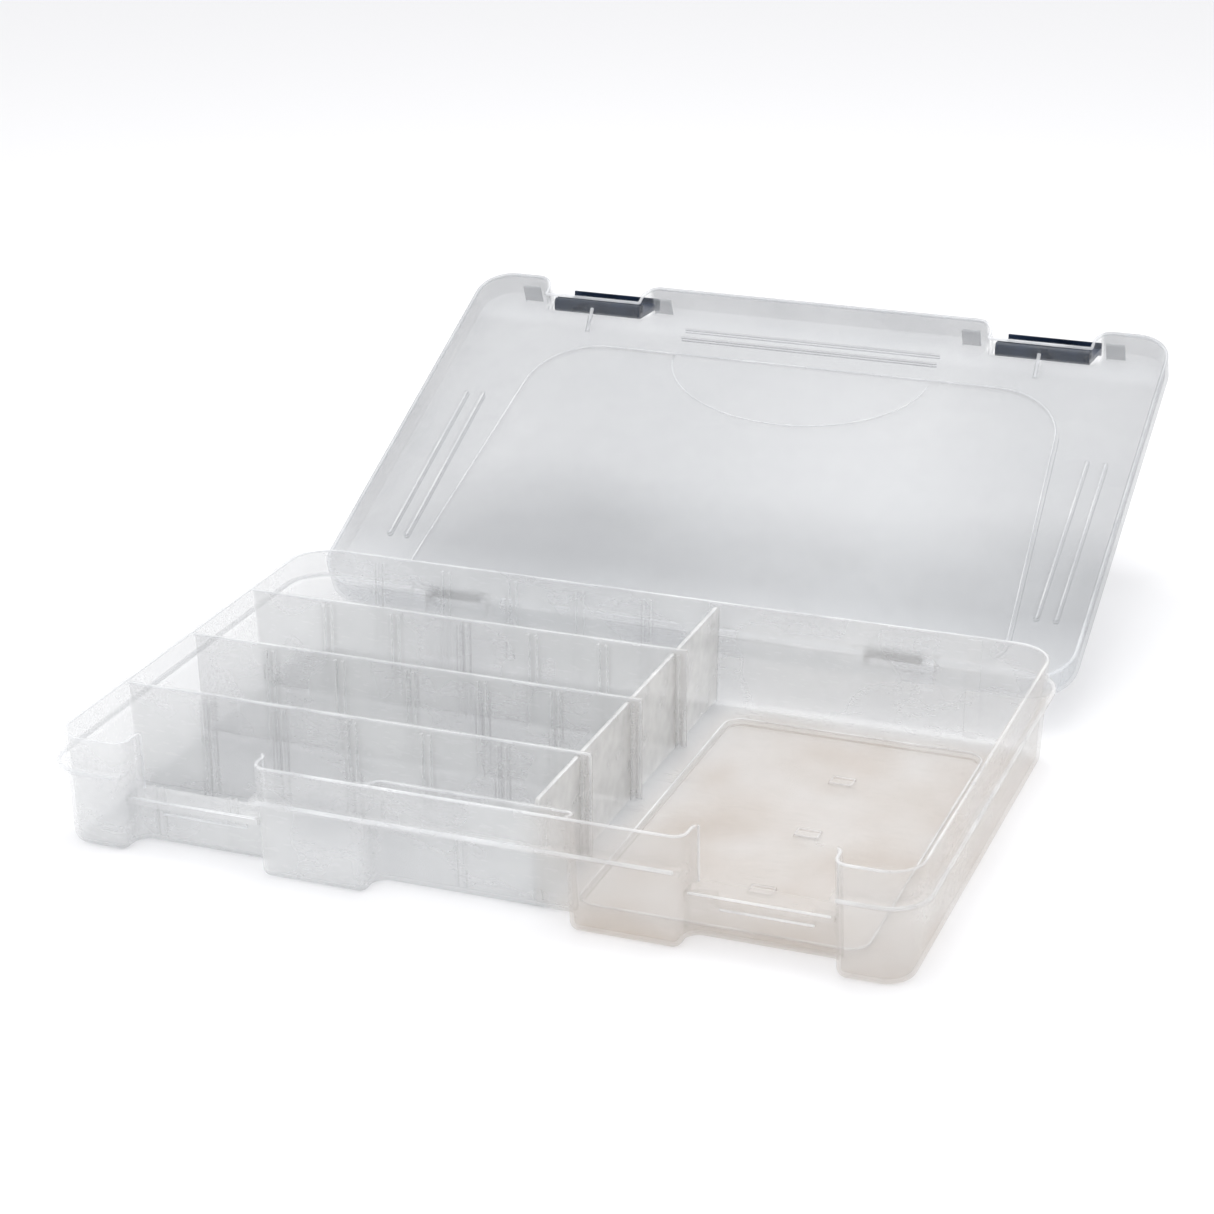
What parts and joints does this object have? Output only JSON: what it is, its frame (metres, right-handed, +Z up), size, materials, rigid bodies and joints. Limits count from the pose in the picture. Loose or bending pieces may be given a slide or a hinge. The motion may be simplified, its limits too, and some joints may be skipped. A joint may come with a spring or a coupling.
{
  "type": "fishing tackle box",
  "caption": "Flat clear tackle box: tray with rows of slotted walls and one open compartment, hinged lid with two snap latches, lift-out row dividers.",
  "frame": {"origin": "centre of the flat underside of the tray", "axes": "+X along the box's length with the open compartment at +X, +Y from the latches to the hinges, +Z up; the lid is modelled open"},
  "size_m": [0.3564, 0.4803, 0.1217],
  "materials": {
    "clear_polypropylene": "translucent moulded polypropylene, satin",
    "divider_polypropylene": "translucent moulded polypropylene, frosted",
    "latch_plastic": "moulded acetal, satin dark navy"
  },
  "bodies": {
    "tray": {"base_tray": "clear_polypropylene"},
    "lid": {"lid": "clear_polypropylene"},
    "latch_left": {"latch_left": "latch_plastic"},
    "latch_right": {"latch_right": "latch_plastic"},
    "divider_1": {"row_divider_1": "divider_polypropylene"},
    "divider_2": {"row_divider_2": "divider_polypropylene"},
    "divider_3": {"row_divider_3": "divider_polypropylene"},
    "divider_4": {"row_divider_4": "divider_polypropylene"}
  },
  "joints": [
    {"name": "lid_hinge", "type": "hinge", "parent": "tray", "child": "lid", "pos_m": [0, 0.1195, 0.0305], "axis": [-1, 0, 0], "range_deg": [-156, 0]},
    {"name": "latch_left_hinge", "type": "hinge", "parent": "lid", "child": "latch_left", "pos_m": [-0.1155, 0.33513, 0.10921], "axis": [-1, 0, 0], "range_deg": [-117, 6]},
    {"name": "latch_right_hinge", "type": "hinge", "parent": "lid", "child": "latch_right", "pos_m": [0.1155, 0.33513, 0.10921], "axis": [-1, 0, 0], "range_deg": [-117, 6]},
    {"name": "divider_1_lift", "type": "slide", "parent": "tray", "child": "divider_1", "axis": [0, 0, 1], "range_m": [0, 0.05]},
    {"name": "divider_2_lift", "type": "slide", "parent": "tray", "child": "divider_2", "axis": [0, 0, 1], "range_m": [0, 0.05]},
    {"name": "divider_3_lift", "type": "slide", "parent": "tray", "child": "divider_3", "axis": [0, 0, 1], "range_m": [0, 0.05]},
    {"name": "divider_4_lift", "type": "slide", "parent": "tray", "child": "divider_4", "axis": [0, 0, 1], "range_m": [0, 0.05]}
  ]
}
